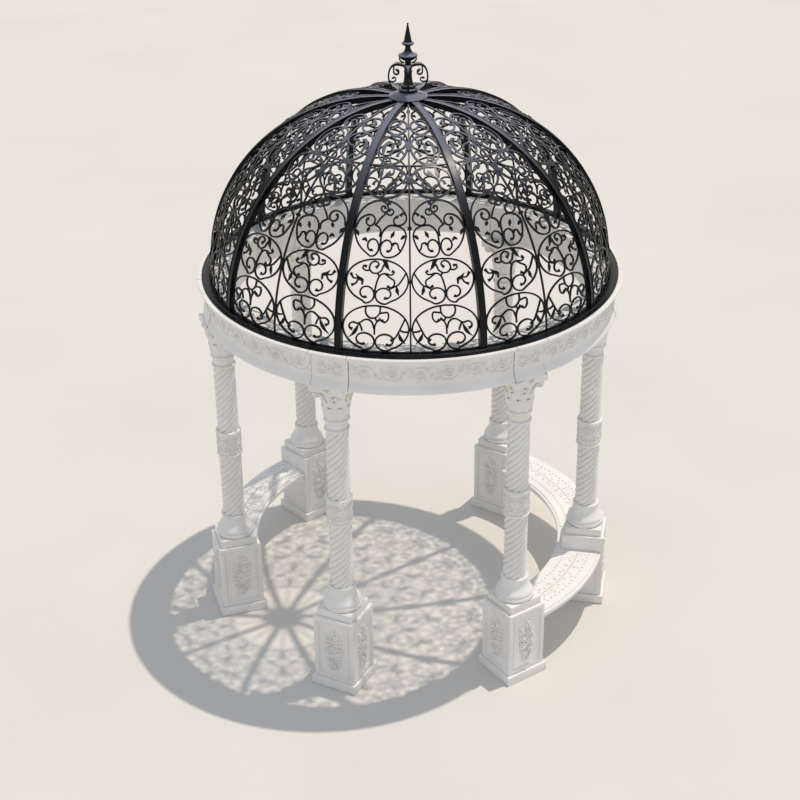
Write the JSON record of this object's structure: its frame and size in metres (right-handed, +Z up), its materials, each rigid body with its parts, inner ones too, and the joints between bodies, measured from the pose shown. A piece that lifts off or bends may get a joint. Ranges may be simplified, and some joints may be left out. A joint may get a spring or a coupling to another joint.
{
  "type": "domed garden gazebo",
  "caption": "Round garden gazebo of white carved stone columns and benches under a black wrought iron scroll work dome.",
  "frame": {"origin": "centre of the floor circle, at floor level", "axes": "+Z up, -Y to the front open bay, +X to the right seen from the front"},
  "size_m": [3.0676, 3, 4.412],
  "materials": {
    "carved_stone": "satin",
    "black_iron": "gloss"
  },
  "bodies": {
    "root": {"pedestal_left": "carved_stone", "shaft_left": "carved_stone", "capital_left": "carved_stone", "pedestal_front_left": "carved_stone", "shaft_front_left": "carved_stone", "capital_front_left": "carved_stone", "pedestal_front_right": "carved_stone", "shaft_front_right": "carved_stone", "capital_front_right": "carved_stone", "pedestal_right": "carved_stone", "shaft_right": "carved_stone", "capital_right": "carved_stone", "pedestal_back_right": "carved_stone", "shaft_back_right": "carved_stone", "capital_back_right": "carved_stone", "pedestal_back_left": "carved_stone", "shaft_back_left": "carved_stone", "capital_back_left": "carved_stone", "entablature_blocks": "carved_stone", "beam_after_left": "carved_stone", "beam_after_front_left": "carved_stone", "beam_after_front_right": "carved_stone", "beam_after_right": "carved_stone", "beam_after_back_right": "carved_stone", "beam_after_back_left": "carved_stone", "bench_left": "carved_stone", "bench_right_front": "carved_stone", "bench_right_back": "carved_stone", "dome_base_ring": "black_iron", "dome_ribs": "black_iron", "grille_course_1": "black_iron", "grille_course_2": "black_iron", "grille_course_3": "black_iron", "grille_course_4": "black_iron", "grille_course_5": "black_iron", "grille_course_6": "black_iron", "crown_plate": "black_iron", "finial": "black_iron", "finial_scrolls": "black_iron"}
  },
  "joints": []
}
